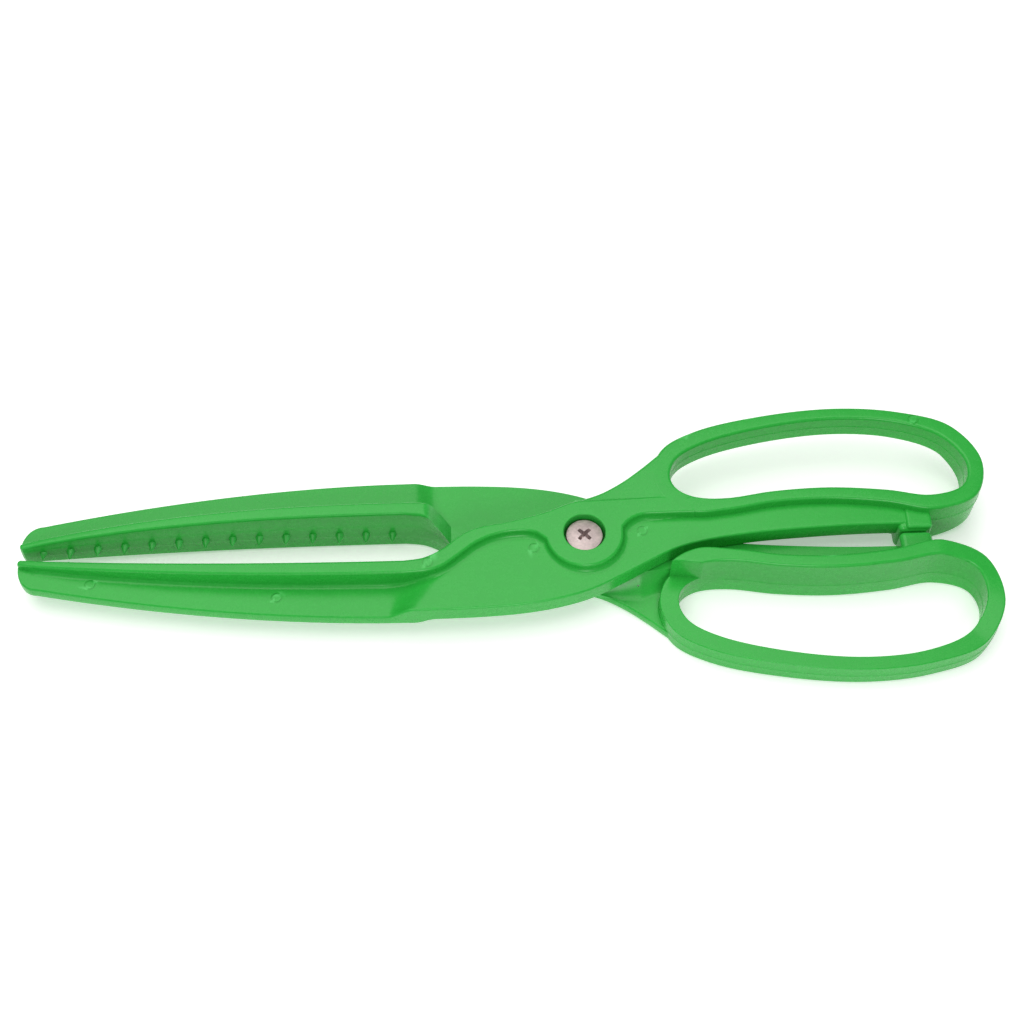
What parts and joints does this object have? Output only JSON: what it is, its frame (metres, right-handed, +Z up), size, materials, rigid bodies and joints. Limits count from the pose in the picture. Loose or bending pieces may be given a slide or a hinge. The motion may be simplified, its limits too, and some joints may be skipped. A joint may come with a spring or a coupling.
{
  "type": "toothed gripping tongs",
  "caption": "Plastic gripping tongs with long toothed jaws and scissor finger loops; two matching halves cross at a pivot screw and close on stop lugs.",
  "frame": {"origin": "under the middle of the closed tool, on the surface that it lies on", "axes": "+X along the tool from the jaws to the finger loops, +Z up through the screw's head, +Y to the side of the front half's finger loop"},
  "size_m": [0.2554, 0.0764, 0.0156],
  "materials": {
    "green_plastic": "semi-gloss injection-moulded polypropylene with soft moulded edges",
    "screw_steel": "dull plated steel, slightly mottled",
    "nut_steel": "bright zinc plate",
    "white_nylon": "plain moulded nylon"
  },
  "bodies": {
    "rear": {"rear_half": "green_plastic", "pivot_screw": "screw_steel", "lock_nut": "nut_steel", "lock_nut_insert": "white_nylon"},
    "front": {"front_half": "green_plastic"}
  },
  "joints": [
    {"name": "opening", "type": "hinge", "parent": "rear", "child": "front", "pos_m": [0.01996, 0, 0.0078], "axis": [0, 0, 1], "range_deg": [0, 101]}
  ]
}
